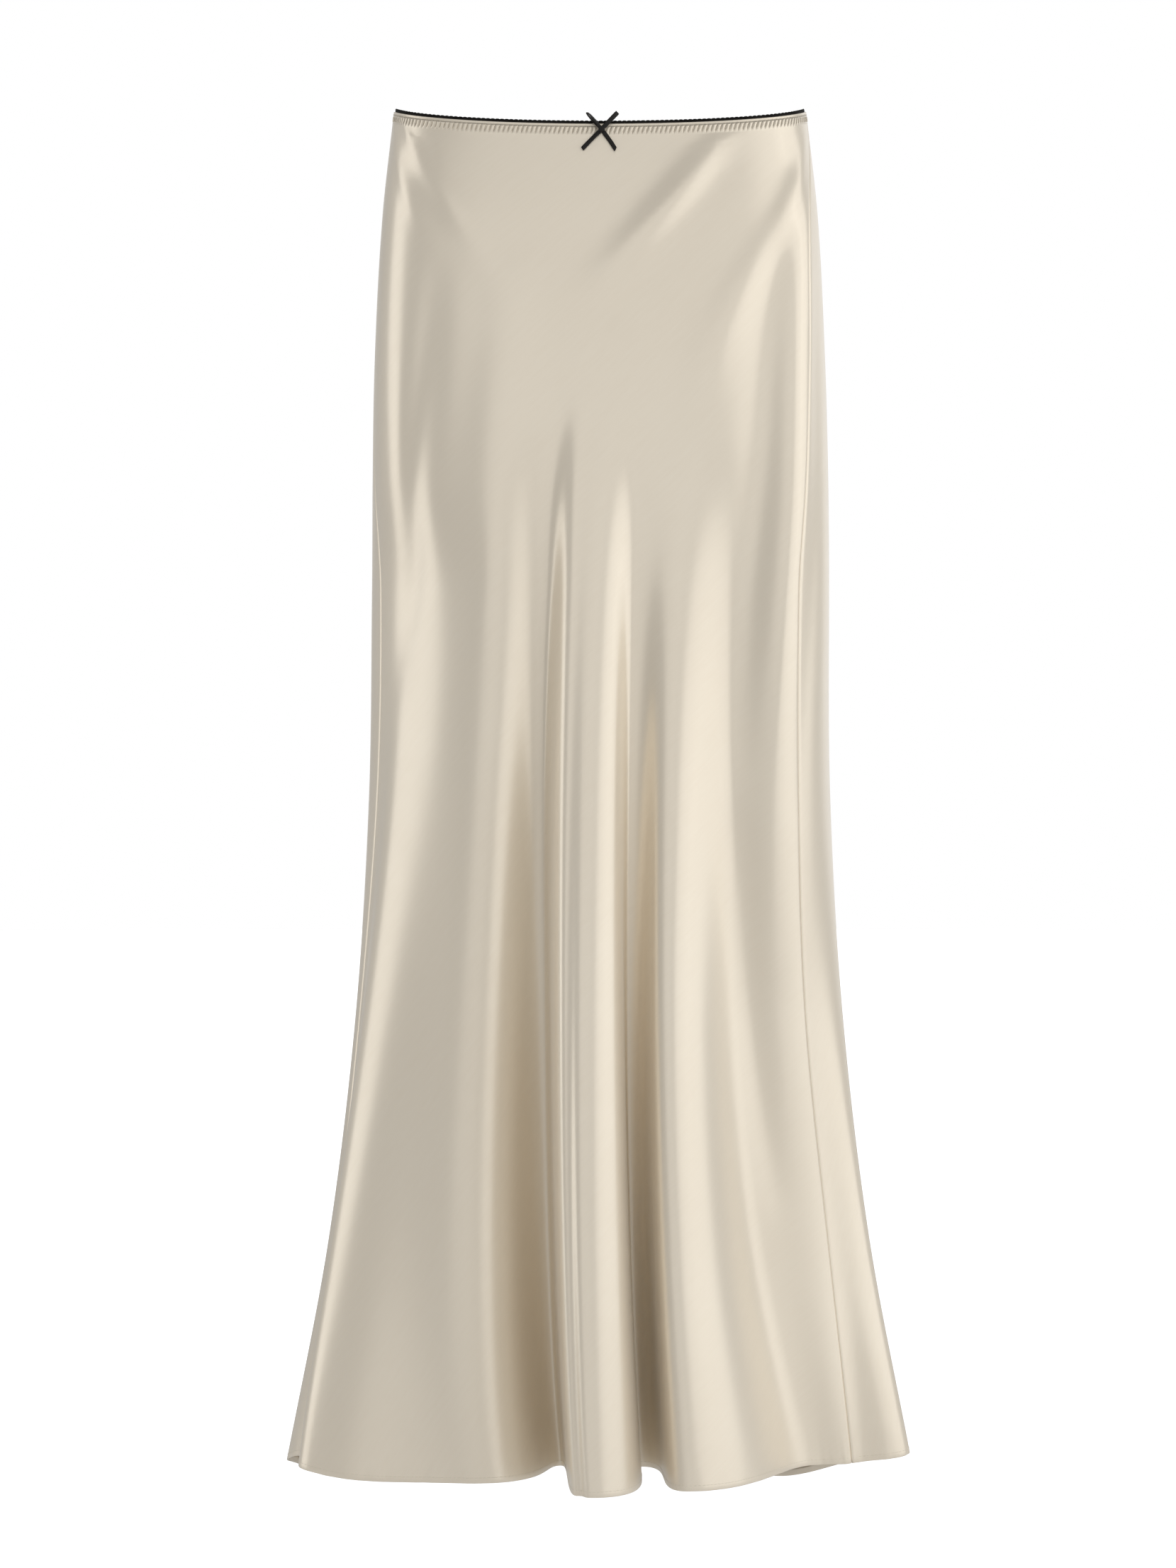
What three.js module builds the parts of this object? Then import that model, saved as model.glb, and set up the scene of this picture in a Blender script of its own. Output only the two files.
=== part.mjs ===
// A bias-cut satin maxi skirt as it hangs from the waist, hollow, with no wearer.
// Millimetres. +X is to the right of the front view, -Y is the front and +Z is up.
// The origin is the middle of the waist opening, level with the top edge at the sides.
import * as THREE from "three";

// ---- Driving sizes
const LENGTH = 978; // top edge to hem, at the sides
const WALL = 1.2; // cloth
const SEAM_GAP = 0.3; // between pieces that are sewn or laid together
const FRONT_DIP = 23.5; // how much lower than the sides the front waist is
const WAIST_EASE = 0.3; // how gently the front's dip turns level at the sides
const ROWS = 26; // spaces between the cloth wall's rings, from the top edge to the hem
const ELASTIC = { tall: 10, thick: 1.2, shows: 2.2, clear: 0.45 }; // shows: its picot edge above the cloth
const RIBBON = { wide: 2.5, thick: 0.6 };
const BOW = { across: 0.8, below: 7, lean: 6.8, clear: 0.5 }; // below: the knot, under the elastic's edge
const LOOP = { deep: 2.4, root: 0.9, wall: 0.6 }; // a loop's depth at its middle and at the knot
const KNOT = { half: 2.7, deep: 1.5 };

const degrees = THREE.MathUtils.degToRad;

// Rows of values, each named by its column.
function table(columns, rows) {
  return rows.map((row) => Object.fromEntries(row.map((value, i) => [columns[i], value])));
}

// ---- The plain outline in plan at each drop below the waist, without folds.
// half: half width. front, back: depth each way. square: squareness of the oval.
// lop: how much squarer its right is than its left.
// lop: how much squarer its right is than its left.
// left, right: the angle of each side seam, 0 at the front middle and 90 at the right side.
const SECTIONS = table(["drop", "half", "front", "back", "square", "lop", "left", "right"], [
  [0, 149, 87, 85, 0.085, 0, -88, 80],
  [76, 156.5, 96, 93, 0.1, 0, -80, 54],
  [180, 162, 104, 103, 0.098, 0, -74, 48],
  [270, 164.3, 106, 105, 0.09, 0.015, -71, 44.5],
  [350, 165.2, 106, 106, 0.062, 0.045, -70, 43],
  [500, 167.5, 103, 104, 0.035, 0.04, -73, 51],
  [660, 177.5, 98, 108, 0.01, 0.015, -78, 60],
  [820, 197, 91, 114, 0, 0, -76, 66.5],
  [978, 227, 84, 124, 0, 0, -69, 62],
]);

// ---- Flutes, which open towards the hem, in their order round the skirt from the left seam.
// start: drop at which the flute begins. top, middle, hem: its angle there, halfway and at the hem.
// reach: how far out it stands at the hem, or in where negative. growth: how late it opens.
// before, after: how full it is on the side towards the last flute and towards the next one.
// columns: panel columns from here to the next flute.
const FLUTE_COLUMNS =
  ["name", "start", "top", "middle", "hem", "reach", "growth", "before", "after", "columns"];
const FLUTES = table(FLUTE_COLUMNS, [
  ["left seam", 0, 0, 0, 0, 0, 1.3, 1, 1, 5],
  ["left hip", 340, -50, -59, -57, 32, 1.2, 1, 0.6, 12],
  ["left lobe", 190, -7, -36.5, -25, 15, 1.05, 0.4, 2, 9],
  ["left valley", 200, -3.5, -14, -7.6, -56, 1.2, -0.5, 0.2, 6],
  ["middle fold", 200, -2.9, -7.2, -3.9, 53, 1.25, 0.3, 1, 5],
  ["middle flute", 200, -2.5, -3.6, -1.6, 60, 1.25, 1, 1.9, 8],
  ["right valley", 225, 4.4, 6.2, 7.8, -52, 1.6, -0.35, 1.2, 8],
  ["right flute", 235, 5.5, 14.6, 15, 40, 1.7, 1.2, 0, 9],
  ["right dip", 240, 14, 33, 47, -38, 1.1, 0, 0.6, 6],
  ["right seam", 0, 0, 0, 0, -32, 2.2, 1, 1, 6],
  ["right side", 0, 90, 90, 92, -2, 1.3, 1, 1, 7],
  ["back right dip", 330, 128, 134, 139, -52, 1.4, 1, 1, 7],
  ["back right flute", 350, 150, 152, 155, 34, 1.3, 1.1, 1, 6],
  ["back right valley", 350, 166, 165, 168, -46, 1.3, 0.9, 0.7, 6],
  ["back middle flute", 340, 180, 178, 180, 30, 1.3, 1.1, 1.2, 6],
  ["back left valley", 345, 193, 192, 191, -40, 1.3, 0.7, 0.8, 6],
  ["back left flute", 345, 206, 207, 204, 38, 1.3, 1.2, 1, 6],
  ["back left dip", 330, 224, 226, 221, -34, 1.4, 0.9, 1, 6],
  ["back left lobe", 330, 240, 243, 240, 12, 1.3, 1, 1, 5],
  ["left side", 0, 262, 262, 264, 0, 1.3, 1, 1, 5],
]);

// ---- Drag folds, soft ridges and troughs that fade at both ends.
// start, end: their drops. top, middle, bottom: their angles. wide, wideEnd: half widths in degrees.
// rise: height outwards, or depth where negative.
const CREASES = table(["name", "start", "end", "top", "middle", "bottom", "wide", "wideEnd", "rise"], [
  ["left drag", 6, 85, -46, -34, -24, 4, 5, -2],
  ["left inner drag", 6, 85, -36, -25, -15, 4, 5, -1.6],
  ["left corner", 190, 420, -33, -36, -60, 5, 5, -3.5],
  ["right drag", 15, 260, 62, 25.5, 20, 6, 6, 3],
  ["right inner drag", 8, 135, 26, 10.5, -2, 4.5, 5, 5],
  ["right hip trough", 60, 560, 38, 30, 28, 6, 8, -3],
  ["right hip ridge", 40, 640, 51, 39, 45, 9, 10, 10],
  ["right low trough", 500, 800, 30, 37.5, 45, 7, 7, -4.5],
  ["back right drag", 40, 300, 112, 132, 150, 8, 9, 3],
  ["back left drag", 60, 330, 246, 232, 214, 8, 9, 3.5],
  ["back hip trough", 140, 520, 196, 188, 186, 9, 8, -3.5],
]);

// ---- How much lower than level the hem hangs about an angle, or higher where negative.
const HEM_DROPS = table(["angle", "wide", "lower"], [
  [94, 18, -5],
  [138, 24, 20],
  [185, 30, 8],
  [232, 26, 20],
  [293, 16, -9],
]);

// A smooth curve through one column of SECTIONS, read at a drop.
function along(column, drop) {
  const last = SECTIONS.length - 1;
  const slope = (k) => {
    const before = SECTIONS[Math.max(k - 1, 0)];
    const after = SECTIONS[Math.min(k + 1, last)];
    return (after[column] - before[column]) / (after.drop - before.drop);
  };
  let i = 0;
  while (i < last - 1 && drop > SECTIONS[i + 1].drop) i += 1;
  const step = SECTIONS[i + 1].drop - SECTIONS[i].drop;
  const u = (drop - SECTIONS[i].drop) / step;
  const v = 1 - u;
  return (
    SECTIONS[i][column] * (1 + 2 * u) * v * v +
    slope(i) * step * u * v * v +
    SECTIONS[i + 1][column] * (3 - 2 * u) * u * u -
    slope(i + 1) * step * v * u * u
  );
}

// The parabola through three values at u = 0, 1/2 and 1.
function bend(top, middle, bottom, u) {
  return top * (1 - u) * (1 - 2 * u) + middle * 4 * u * (1 - u) + bottom * u * (2 * u - 1);
}

// Where each flute stands at a drop: its angle and how far out it has come.
function flutesAt(drop) {
  const rows = FLUTES.map((flute) => {
    const u = THREE.MathUtils.clamp((drop - flute.start) / (LENGTH - flute.start), 0, 1);
    let angle = bend(flute.top, flute.middle, flute.hem, u);
    if (flute.name === "left seam") angle = along("left", drop);
    if (flute.name === "right seam") angle = along("right", drop);
    return { ...flute, angle: degrees(angle), out: flute.reach * u ** flute.growth };
  });
  rows.push({ ...rows[0], name: "left seam again", angle: rows[0].angle + 2 * Math.PI });
  return rows;
}

// The outward lift of the drag folds at an angle and a drop.
function creaseLift(angle, drop) {
  let lift = 0;
  for (const crease of CREASES) {
    const u = (drop - crease.start) / (crease.end - crease.start);
    if (u <= 0 || u >= 1) continue;
    const centre = degrees(bend(crease.top, crease.middle, crease.bottom, u));
    const halfWidth = degrees(THREE.MathUtils.lerp(crease.wide, crease.wideEnd, u));
    const across = (angle - centre) / halfWidth;
    lift += crease.rise * Math.sin(Math.PI * u ** 0.8) * Math.exp(-1.4 * across * across);
  }
  return lift;
}

// The plain oval at an angle and a drop, moved out by a distance along its normal.
function ovalPoint(angle, drop, out) {
  const half = along("half", drop);
  const square = along("square", drop) + along("lop", drop) * Math.sin(angle);
  const mean = (along("front", drop) + along("back", drop)) / 2;
  const skew = (along("front", drop) - along("back", drop)) / 2;
  const across = (Math.sin(angle) + square * Math.sin(3 * angle)) / (1 - square);
  const acrossRate = (Math.cos(angle) + 3 * square * Math.cos(3 * angle)) / (1 - square);
  const deep = (Math.cos(angle) - square * Math.cos(3 * angle)) / (1 - square);
  const deepRate = (-Math.sin(angle) + 3 * square * Math.sin(3 * angle)) / (1 - square);
  const forward = mean * deep + (skew * (Math.cos(2 * angle) + 1)) / 2;
  const forwardRate = mean * deepRate - skew * Math.sin(2 * angle);
  const normal = new THREE.Vector2(-forwardRate, -half * acrossRate).normalize();
  return new THREE.Vector2(half * across, -forward).addScaledVector(normal, out);
}

// One flute flows into the next along a cubic curve, rounder where the flank is steep.
function flank(from, to, t, radius) {
  const gap = to.angle - from.angle;
  const steep = Math.abs(to.out - from.out) / (gap * radius);
  const round = 0.62 * (1 - Math.exp(-steep / 1.5));
  const leave = gap * (0.38 + round * from.after);
  const arrive = gap * (0.38 + round * to.before);
  const s = 1 - t;
  const angle =
    from.angle * s ** 3 +
    (from.angle + leave) * 3 * s * s * t +
    (to.angle - arrive) * 3 * s * t * t +
    to.angle * t ** 3;
  const out = from.out * (s ** 3 + 3 * s * s * t) + to.out * (3 * s * t * t + t ** 3);
  return { angle, out };
}

// How much higher than level the waist is at an angle: it dips to the front middle.
function waistRise(angle) {
  const lean = (forward) => (forward + Math.hypot(forward, WAIST_EASE)) / 2;
  return (-FRONT_DIP * (lean(Math.cos(angle)) - lean(0))) / (lean(1) - lean(0));
}

// The height of the cloth at an angle, for a share of the way down.
function heightAt(angle, share) {
  const turned = (THREE.MathUtils.radToDeg(angle) + 360) % 360;
  let lower = 0;
  for (const row of HEM_DROPS) {
    const apart = (turned - row.angle) / row.wide;
    lower += row.lower * Math.exp(-apart * apart);
  }
  const top = (waistRise(angle) - ELASTIC.shows) * (1 - share) ** 3;
  return -LENGTH * share + top - lower * share ** 4;
}

// The ring of cloth at a share of the way down: its places with their level normals,
// and where each seam is in it.
function clothRing(share) {
  const drop = share * LENGTH;
  const flutes = flutesAt(drop);
  const points = [];
  const seams = {};
  for (let i = 0; i + 1 < flutes.length; i += 1) {
    seams[flutes[i].name] = points.length;
    for (let k = 0; k < flutes[i].columns; k += 1) {
      const { angle, out } = flank(flutes[i], flutes[i + 1], k / flutes[i].columns, along("half", drop));
      const plan = ovalPoint(angle, drop, out + creaseLift(angle, drop));
      points.push({ place: new THREE.Vector3(plan.x, plan.y, heightAt(angle, share)) });
    }
  }
  points.forEach((point, i) => {
    const before = points.at(i - 1).place;
    const after = points[(i + 1) % points.length].place;
    point.normal = new THREE.Vector3(after.y - before.y, before.x - after.x, 0).normalize();
  });
  seams["left seam again"] = points.length;
  return { points, seams };
}

// A closed solid between two grids of points of the same size, the outer one facing out.
// In a ring the last column joins the first.
function wallBetween(outer, inner, ring = false) {
  const rows = outer.length - 1;
  const columns = outer[0].length;
  const spans = ring ? columns : columns - 1;
  const index = [];
  const at = (row, column, side) => (side * (rows + 1) + row) * columns + (column % columns);
  const quad = (a, b, c, d) => index.push(a, b, c, a, c, d);
  for (let row = 0; row < rows; row += 1) {
    for (let column = 0; column < spans; column += 1) {
      const corners = [[row, column], [row + 1, column], [row + 1, column + 1], [row, column + 1]];
      quad(...corners.map(([r, c]) => at(r, c, 0)));
      quad(...corners.reverse().map(([r, c]) => at(r, c, 1)));
    }
  }
  for (let column = 0; column < spans; column += 1) {
    quad(at(0, column, 0), at(0, column + 1, 0), at(0, column + 1, 1), at(0, column, 1));
    quad(at(rows, column, 1), at(rows, column + 1, 1), at(rows, column + 1, 0), at(rows, column, 0));
  }
  for (let row = 0; row < rows && !ring; row += 1) {
    quad(at(row, 0, 1), at(row + 1, 0, 1), at(row + 1, 0, 0), at(row, 0, 0));
    quad(at(row, spans, 0), at(row + 1, spans, 0), at(row + 1, spans, 1), at(row, spans, 1));
  }
  const geometry = new THREE.BufferGeometry().setFromPoints([...outer.flat(), ...inner.flat()]);
  geometry.setIndex(index);
  geometry.computeVertexNormals();
  return geometry;
}

// The drops of the cloth's rings: one at the elastic's lower edge, and the others evenly spaced.
const RING_DROPS = [0, ELASTIC.tall - ELASTIC.shows];
for (let row = 1; row <= ROWS; row += 1) RING_DROPS.push((row * LENGTH) / ROWS);

// A panel from one seam to the other, short of each by half the seam gap.
function panelGeometry(first, last) {
  const outer = [];
  const inner = [];
  for (const drop of RING_DROPS) {
    const { points, seams } = clothRing(drop / LENGTH);
    const outerRow = [];
    const innerRow = [];
    for (let i = seams[first]; i <= seams[last]; i += 1) {
      const { place, normal } = points[i % points.length];
      const inset = i === seams[first] ? 0.5 : i === seams[last] ? -0.5 : 0;
      const sideways = new THREE.Vector3(-normal.y, normal.x, 0);
      const outside = place.clone().addScaledVector(sideways, inset * SEAM_GAP);
      outerRow.push(outside);
      innerRow.push(outside.clone().addScaledVector(normal, -WALL));
    }
    outer.push(outerRow);
    inner.push(innerRow);
  }
  return wallBetween(outer, inner);
}

// The elastic: a ring inside the top of both panels, made from their points moved in.
function elasticGeometry() {
  const top = clothRing(0).points;
  const rings = [
    { points: top, above: ELASTIC.shows },
    { points: top, above: 0 },
    { points: clothRing(RING_DROPS[1] / LENGTH).points, above: 0 },
  ];
  const [outer, inner] = [0, ELASTIC.thick].map((depth) =>
    rings.map(({ points, above }) =>
      points.map(({ place, normal }) => {
        const moved = place.clone().addScaledVector(normal, -(WALL + ELASTIC.clear + depth));
        return moved.setZ(place.z + above);
      }),
    ),
  );
  return wallBetween(outer, inner, true);
}

// A strip of ribbon along x, bent in x and z by a side profile and as wide as the ribbon in y.
function ribbonGeometry(profile) {
  const geometry = new THREE.ExtrudeGeometry(profile, { depth: RIBBON.wide, bevelEnabled: false });
  geometry.translate(0, 0, -RIBBON.wide / 2);
  geometry.rotateX(Math.PI / 2);
  return geometry;
}

// A loop of the bow: ribbon that goes out and comes back over itself, tapering to the knot.
function loopGeometry(start, end) {
  const outline = (inset) => {
    const path = new THREE.Path();
    const high = LOOP.deep - inset;
    const root = start + 4 * inset;
    const turn = end - LOOP.deep / 2;
    const bulge = turn + (2 / 3) * (LOOP.deep - 2 * inset);
    path.moveTo(root, inset);
    path.lineTo(turn, inset);
    path.bezierCurveTo(bulge, inset, bulge, high, turn, high);
    path.quadraticCurveTo((start + turn) / 2, high, root, LOOP.root);
    path.closePath();
    return path.getPoints(6);
  };
  const profile = new THREE.Shape(outline(0));
  profile.holes.push(new THREE.Path(outline(LOOP.wall)));
  return ribbonGeometry(profile);
}

// A tail of the bow: ribbon lying along the cloth.
function tailGeometry(start, end) {
  const profile = new THREE.Shape();
  profile.moveTo(start, 0);
  profile.lineTo(end, 0);
  profile.lineTo(end, RIBBON.thick);
  profile.lineTo(start, RIBBON.thick);
  return ribbonGeometry(profile);
}

const satin = new THREE.MeshStandardMaterial({ color: 0xd4ccba, roughness: 0.32, metalness: 0 });
const elastic = new THREE.MeshStandardMaterial({ color: 0x17171a, roughness: 0.7, metalness: 0 });
const ribbon = new THREE.MeshStandardMaterial({ color: 0x141416, roughness: 0.35, metalness: 0 });

const skirt = new THREE.Group();

function add(name, geometry, material, parent = skirt) {
  const mesh = new THREE.Mesh(geometry, material);
  mesh.name = name;
  parent.add(mesh);
  return mesh;
}

add("front_panel", panelGeometry("left seam", "right seam"), satin);
add("back_panel", panelGeometry("right seam", "left seam again"), satin);
add("waist_trim", elasticGeometry(), elastic);

// ---- The bow stands on the front panel just below its top edge, leaning with it.
// Its own z axis points out of the cloth and its own y axis up it.
const bow = new THREE.Group();
bow.position.set(BOW.across, -along("front", BOW.below) - BOW.clear, -FRONT_DIP - BOW.below);
bow.rotation.x = Math.PI / 2 - degrees(BOW.lean);
skirt.add(bow);

const knot = add("bow_knot", new THREE.SphereGeometry(1, 18, 12), ribbon, bow);
knot.scale.set(KNOT.half, KNOT.half, KNOT.deep);
knot.position.z = KNOT.deep;

// Each arm of the bow: which way it points, and how far from the knot's middle it ends.
const ARMS = table(["name", "direction", "end", "loop"], [
  ["bow_loop_left", 131, 15.2, true],
  ["bow_loop_right", 46, 16, true],
  ["bow_tail_left", 225, 19.8, false],
  ["bow_tail_right", 303, 16.8, false],
]);
for (const arm of ARMS) {
  const start = KNOT.half + SEAM_GAP;
  const geometry = arm.loop ? loopGeometry(start, arm.end) : tailGeometry(start, arm.end);
  add(arm.name, geometry, ribbon, bow).rotation.z = degrees(arm.direction);
}

export default skirt;
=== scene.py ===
import math

import bpy
import numpy as np
from mathutils import Matrix, Vector


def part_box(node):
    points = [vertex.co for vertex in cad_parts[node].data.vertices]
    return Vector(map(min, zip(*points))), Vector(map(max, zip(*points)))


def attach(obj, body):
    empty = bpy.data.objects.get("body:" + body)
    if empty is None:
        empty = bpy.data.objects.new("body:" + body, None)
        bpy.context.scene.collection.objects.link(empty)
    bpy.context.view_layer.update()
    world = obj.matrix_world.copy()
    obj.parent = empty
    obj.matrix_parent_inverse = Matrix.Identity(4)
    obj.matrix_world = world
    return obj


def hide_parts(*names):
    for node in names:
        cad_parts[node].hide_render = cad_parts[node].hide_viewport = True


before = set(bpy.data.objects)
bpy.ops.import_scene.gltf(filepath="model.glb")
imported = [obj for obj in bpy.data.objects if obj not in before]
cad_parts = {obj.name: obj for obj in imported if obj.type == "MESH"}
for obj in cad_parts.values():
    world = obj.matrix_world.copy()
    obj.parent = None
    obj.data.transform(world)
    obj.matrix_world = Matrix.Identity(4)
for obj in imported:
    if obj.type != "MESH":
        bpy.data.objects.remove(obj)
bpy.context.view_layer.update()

# ---------------------------------------------------------------------------------------
# Camera
# Level and straight in front, at half the skirt's height, and far enough off for a catalogue.
CAMERA_PLACE = (-0.0087, -2.6, -0.4888)
FRAME_HEIGHT = 1.137  # what the frame takes in, top to bottom, at the skirt

camera = bpy.data.objects.new("camera", bpy.data.cameras.new("camera"))
camera.location = CAMERA_PLACE
camera.rotation_euler = (math.radians(90), 0, 0)
camera.data.lens = camera.data.sensor_width * -CAMERA_PLACE[1] / FRAME_HEIGHT
bpy.context.scene.collection.objects.link(camera)
bpy.context.scene.camera = camera

# ---------------------------------------------------------------------------------------
# Front panel
# One piece of ivory satin, cut on the bias and flared, from the left side seam round the front
# to the right side seam. It hangs smooth over the hips and opens into flutes at the hem, which
# is turned up narrow. Its tables are in millimetres, as a cutter works.
MM = 0.001
LENGTH = 978  # top edge to hem, at the sides
FRONT_DIP = 23.5  # how much lower than the sides the front waist is
WAIST_EASE = 0.3  # how gently the front's dip turns level at the sides
EDGE_SHOWS = 2.45  # the elastic's edge above the satin
CLOTH = 0.4  # thickness of the satin
TURN = 0.55  # depth between a layer of satin and the one turned behind it
SEAM_ALLOWANCE = 9
ALLOWANCE_EASE = 4  # over which a turned layer sinks behind an allowance
SEAM_TOUCH = 0.05  # half the gap between two panels' folds
SEAM_DIP, SEAM_SOFTNESS = 0.7, 1.1  # how deep the seam sinks, and how far beside it
ALLOWANCE_STEPS = (9, 7, 5, 3.2, 2, 1.3, 0.85)  # distances from the seam of an allowance's columns
FACE_STEPS = (0.85, 1.3, 2, 3.2, 5)  # and of the face's columns
TOP_STEPS = (6, 4.5, 3, 1.6, 0.8)  # rows of the top edge's turned-in layer, from the raw edge
HEM_STEPS = (1, 2.2, 3.6, 5)  # rows of the turned-up hem, to the raw edge
FACE_ROWS = ((1.5, 16, 11), (16, 350, 50), (350, 952, 46), (952, 977, 12))  # start, end, rows
RIPPLE, RIPPLE_FADE = 0.16, 9  # the hem's roping, and how soon it dies away above
FOLD_STEPS = 6  # of mesh round a fold
FINE = 4  # columns of the cloth mesh to one of the cutter's columns

SECTION_COLUMNS = ("drop", "half", "front", "back", "square", "lop", "left", "right")
SECTIONS = [
    (0, 149, 87, 85, 0.085, 0, -88, 80),
    (76, 156.5, 96, 93, 0.1, 0, -80, 54),
    (180, 162, 104, 103, 0.098, 0, -74, 48),
    (270, 164.3, 106, 105, 0.09, 0.015, -71, 44.5),
    (350, 165.2, 106, 106, 0.062, 0.045, -70, 43),
    (500, 167.5, 103, 104, 0.035, 0.04, -73, 51),
    (660, 177.5, 98, 108, 0.01, 0.015, -78, 60),
    (820, 197, 91, 114, 0, 0, -76, 66.5),
    (978, 227, 84, 124, 0, 0, -69, 62),
]

# Flutes, in their order round the skirt from the left seam: the drop each begins at, its angle
# there, halfway and at the hem, how far out it stands at the hem, how late it opens, how full it
# is towards the last flute and towards the next one, and the columns from here to the next.
FLUTES = [
    ("left seam", 0, 0, 0, 0, 0, 1.3, 1, 1, 5),
    ("left hip", 340, -50, -59, -57, 32, 1.2, 1, 0.6, 12),
    ("left lobe", 190, -12, -36.5, -25, 15, 1.05, 0.4, 2, 9),
    ("left valley", 200, -6.5, -14, -7.6, -56, 1.2, -0.5, 0.2, 6),
    ("middle fold", 200, -2.6, -7.2, -3.9, 53, 1.25, 0.3, 1, 5),
    ("middle flute", 200, 1, -3.6, -1.6, 60, 1.25, 1, 1.9, 8),
    ("right valley", 225, 6.9, 6.2, 7.8, -52, 1.6, -0.35, 1.2, 8),
    ("right flute", 235, 15, 14.6, 15, 40, 1.7, 1.2, 0, 9),
    ("right dip", 240, 24, 33, 47, -38, 1.1, 0, 0.6, 6),
    ("right seam", 0, 0, 0, 0, -32, 2.2, 1, 1, 6),
    ("right side", 0, 90, 90, 92, -2, 1.3, 1, 1, 7),
    ("back right dip", 330, 128, 134, 139, -52, 1.4, 1, 1, 7),
    ("back right flute", 350, 150, 152, 155, 34, 1.3, 1.1, 1, 6),
    ("back right valley", 350, 166, 165, 168, -46, 1.3, 0.9, 0.7, 6),
    ("back middle flute", 340, 180, 178, 180, 30, 1.3, 1.1, 1.2, 6),
    ("back left valley", 345, 193, 192, 191, -40, 1.3, 0.7, 0.8, 6),
    ("back left flute", 345, 206, 207, 204, 38, 1.3, 1.2, 1, 6),
    ("back left dip", 330, 224, 226, 221, -34, 1.4, 0.9, 1, 6),
    ("back left lobe", 330, 240, 243, 240, 12, 1.3, 1, 1, 5),
    ("left side", 0, 262, 262, 264, 0, 1.3, 1, 1, 5),
]

# Drag folds: the drops each runs between, its angle at its top, middle and bottom, its half width
# in degrees at its top and bottom, and how high it stands, or how deep it lies where negative.
CREASES = [
    ("left drag", 4, 95, -72, -50, -36, 3, 4, 1.2),
    ("left inner drag", 4, 85, -58, -38, -28, 2.6, 4, 1.6),
    ("left long drag", 10, 150, -40, -26, -14, 4, 7, 1.2),
    ("left corner", 100, 440, -33, -42, -62, 6, 7, -3),
    ("left lobe start", 100, 420, -16, -20, -29, 6, 7, 2.5),
    ("right drag", 15, 260, 62, 25.5, 20, 6, 6, 3),
    ("right inner drag", 8, 135, 26, 10.5, -2, 4.5, 5, 5),
    ("right hip trough", 60, 560, 38, 30, 28, 6, 8, -3),
    ("right hip ridge", 40, 640, 51, 39, 45, 9, 10, 10),
    ("right low trough", 500, 800, 30, 37.5, 45, 7, 7, -4.5),
    ("back right drag", 40, 300, 112, 132, 150, 8, 9, 3),
    ("back left drag", 60, 330, 246, 232, 214, 8, 9, 3.5),
    ("back hip trough", 140, 520, 196, 188, 186, 9, 8, -3.5),
]

HEM_DROPS = [  # angle, width and how much lower the hem hangs there
    (94, 18, -5),
    (138, 24, 20),
    (185, 30, 8),
    (232, 26, 20),
    (293, 16, -9),
]


def along(column, drop):
    """A smooth curve through one column of SECTIONS, read at a drop."""
    at = SECTION_COLUMNS.index(column)
    drops = [row[0] for row in SECTIONS]
    values = [row[at] for row in SECTIONS]
    last = len(SECTIONS) - 1
    i = 0
    while i < last - 1 and drop > drops[i + 1]:
        i += 1

    def slope(k):
        before, after = max(k - 1, 0), min(k + 1, last)
        return (values[after] - values[before]) / (drops[after] - drops[before])

    step = drops[i + 1] - drops[i]
    u = (drop - drops[i]) / step
    v = 1 - u
    return (
        values[i] * (1 + 2 * u) * v * v
        + slope(i) * step * u * v * v
        + values[i + 1] * (3 - 2 * u) * u * u
        - slope(i + 1) * step * v * u * u
    )


def bend(top, middle, bottom, u):
    """The parabola through three values at u = 0, 1/2 and 1."""
    return top * (1 - u) * (1 - 2 * u) + middle * 4 * u * (1 - u) + bottom * u * (2 * u - 1)


def flutes_at(drop):
    """Each flute's angle and reach at a drop, with the first one again at the end."""
    rows = []
    for name, start, top, middle, hem, reach, growth, before, after, columns in FLUTES:
        u = min(max((drop - start) / (LENGTH - start), 0), 1)
        angle = bend(top, middle, hem, u)
        if name == "left seam":
            angle = along("left", drop)
        if name == "right seam":
            angle = along("right", drop)
        rows.append((name, math.radians(angle), reach * u**growth, before, after, columns))
    rows.append(("left seam again", rows[0][1] + 2 * math.pi) + rows[0][2:])
    return rows


def flutes_between(seams, drop):
    """The flutes from one seam to another at a drop, both seams with them."""
    rings = flutes_at(drop)
    names = [row[0] for row in rings]
    return rings[names.index(seams[0]) : names.index(seams[1]) + 1]


def crease_lift(angle, drop):
    """How far the drag folds lift the cloth at some angles and a drop."""
    lift = np.zeros_like(angle)
    for _, start, end, top, middle, bottom, wide, wide_end, rise in CREASES:
        u = (drop - start) / (end - start)
        if not 0 < u < 1:
            continue
        centre = math.radians(bend(top, middle, bottom, u))
        half_width = math.radians(wide + (wide_end - wide) * u)
        across = (angle - centre) / half_width
        lift += rise * math.sin(math.pi * u**0.8) * np.exp(-1.4 * across * across)
    return lift


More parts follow.
